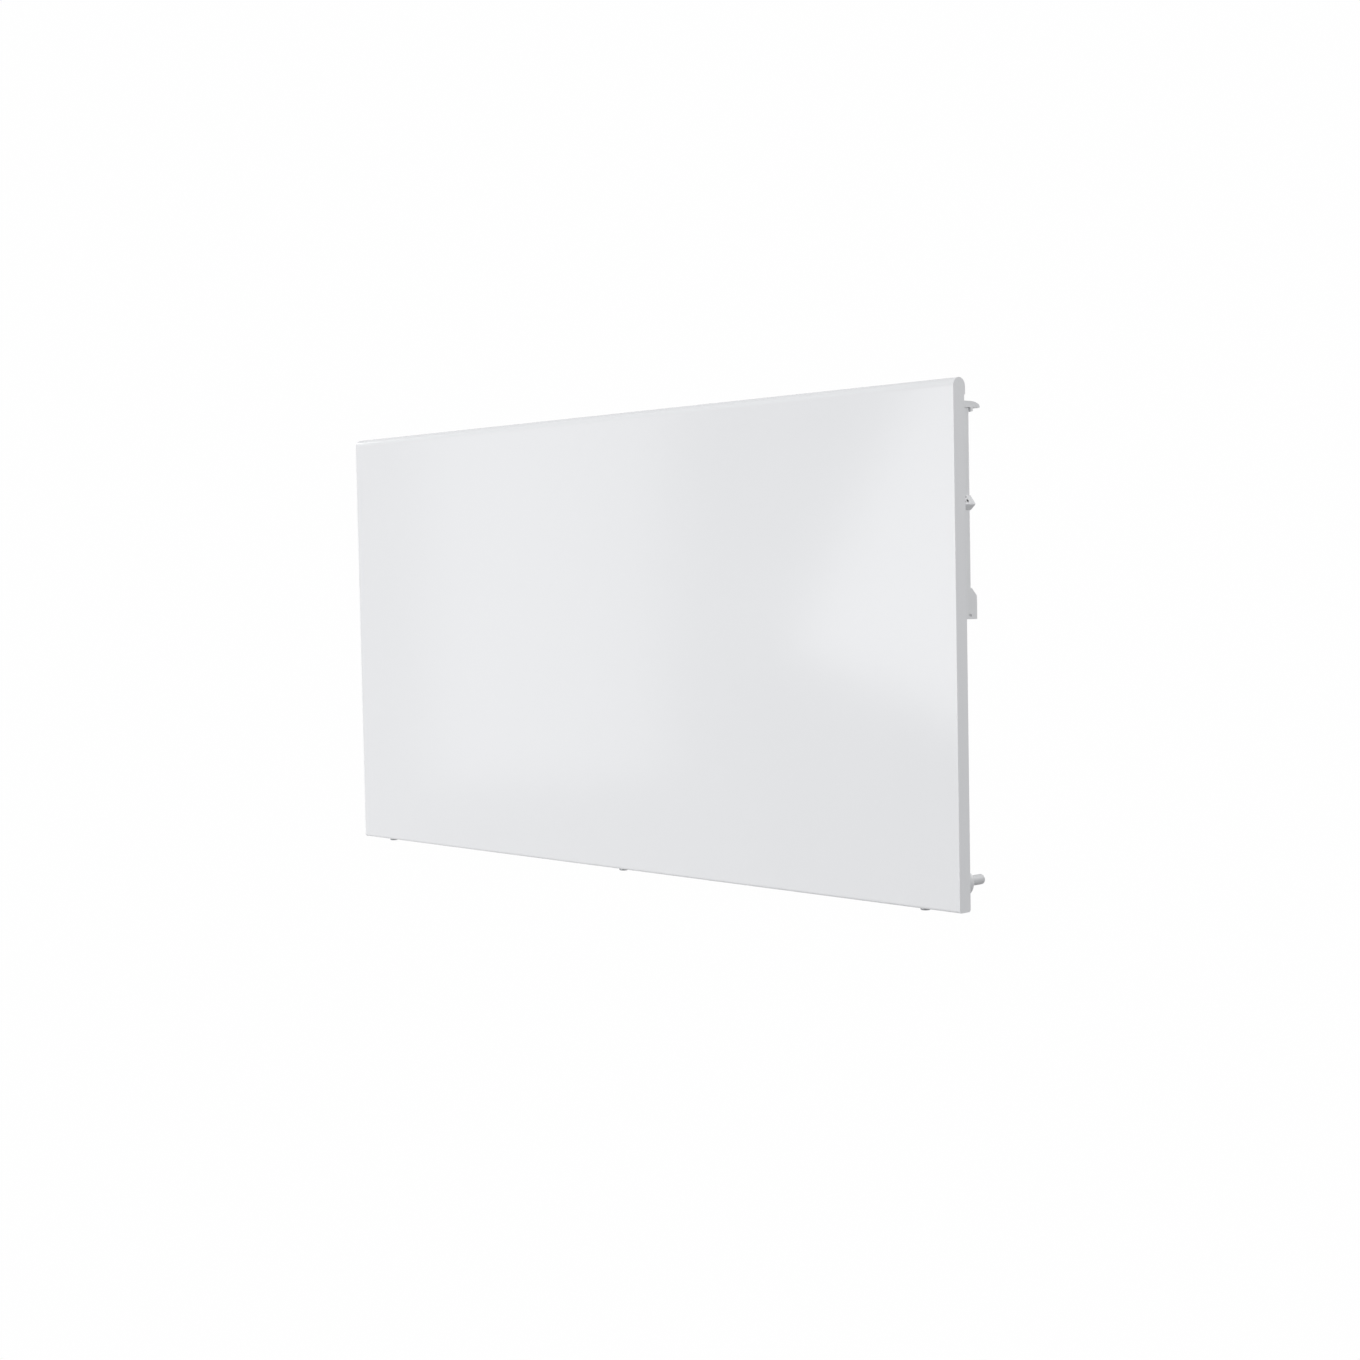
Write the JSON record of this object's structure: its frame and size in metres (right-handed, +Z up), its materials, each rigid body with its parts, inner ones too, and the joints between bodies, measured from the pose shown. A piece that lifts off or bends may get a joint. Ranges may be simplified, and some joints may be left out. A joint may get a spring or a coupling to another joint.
{
  "type": "convector heater",
  "caption": "White flat-panel convector heater hung on a wall bracket, with a slotted rear casing, a finned heating element and a thermostat box with keys, display and mains rocker.",
  "frame": {"origin": "on the wall plane, in the middle of the wall bracket's four screw holes", "axes": "+X to the right as seen from the room, along the heater's width; +Y from the room into the wall; +Z up"},
  "size_m": [0.724, 0.078, 0.3716],
  "materials": {
    "white_enamel": "satin white powder coat",
    "white_enamel_rear": "thin white coat, a little duller",
    "zinc_steel": "zinc-plated, faint spangle",
    "screw_steel": "zinc-plated",
    "shield_aluminium": "bright rolled sheet",
    "element_aluminium": "extruded, fine lines along its length",
    "rod_steel": "drawn tube, slightly tarnished",
    "bush_ceramic": "unglazed",
    "spacer_plastic": "moulded, semi-matt",
    "box_plastic": "moulded, fine spark texture",
    "key_plastic": "moulded, satin",
    "window_glass": "smoked, polished",
    "circuit_board": "green solder mask",
    "black_plastic": "moulded",
    "rocker_plastic": "polished black",
    "yellow_film": "taped transformer",
    "blue_plastic": "moulded",
    "bush_rubber": "matt black"
  },
  "bodies": {
    "wall_bracket": {"wall_bracket": "zinc_steel"},
    "heater": {"front_panel": "white_enamel", "rear_casing": "white_enamel_rear", "panel_screws": "screw_steel", "heat_shield": "shield_aluminium", "element_profile": "element_aluminium", "element_rod": "rod_steel", "element_bracket_left": "zinc_steel", "element_bracket_right": "zinc_steel", "ceramic_bushes": "bush_ceramic", "bracket_rivets": "screw_steel", "thermal_cutout": "bush_ceramic", "wall_spacer_left": "spacer_plastic", "wall_spacer_right": "spacer_plastic", "control_housing": "box_plastic", "control_base": "box_plastic", "control_lid": "box_plastic", "display_window": "window_glass", "display_board": "circuit_board", "display_module": "black_plastic", "key_switches": "black_plastic", "main_board": "circuit_board", "relay": "black_plastic", "power_module": "yellow_film", "terminal_block": "blue_plastic", "sensor_cover": "box_plastic", "room_sensor": "black_plastic", "switch_frame": "black_plastic", "cable_bush": "bush_rubber", "wire_grommet": "bush_rubber", "box_screws": "screw_steel"},
    "key_minus": {"key_minus": "key_plastic"},
    "key_plus": {"key_plus": "key_plastic"},
    "key_power": {"key_power": "key_plastic"},
    "switch_rocker": {"switch_rocker": "rocker_plastic"}
  },
  "joints": [
    {"name": "lift_off", "type": "slide", "parent": "wall_bracket", "child": "heater", "axis": [0, 0, 1], "range_m": [0, 0.0095]},
    {"name": "key_minus_press", "type": "slide", "parent": "heater", "child": "key_minus", "axis": [0, 0, -1], "range_m": [0, 0.0006], "stiffness_N_per_m": 800, "springref_m": -0.0005},
    {"name": "key_plus_press", "type": "slide", "parent": "heater", "child": "key_plus", "axis": [0, 0, -1], "range_m": [0, 0.0006], "stiffness_N_per_m": 800, "springref_m": -0.0005},
    {"name": "key_power_press", "type": "slide", "parent": "heater", "child": "key_power", "axis": [0, 0, -1], "range_m": [0, 0.0006], "stiffness_N_per_m": 800, "springref_m": -0.0005},
    {"name": "mains_rocker", "type": "hinge", "parent": "heater", "child": "switch_rocker", "pos_m": [0.26, -0.038, 0.0136], "axis": [0, 1, 0], "range_deg": [-20, 0]}
  ]
}
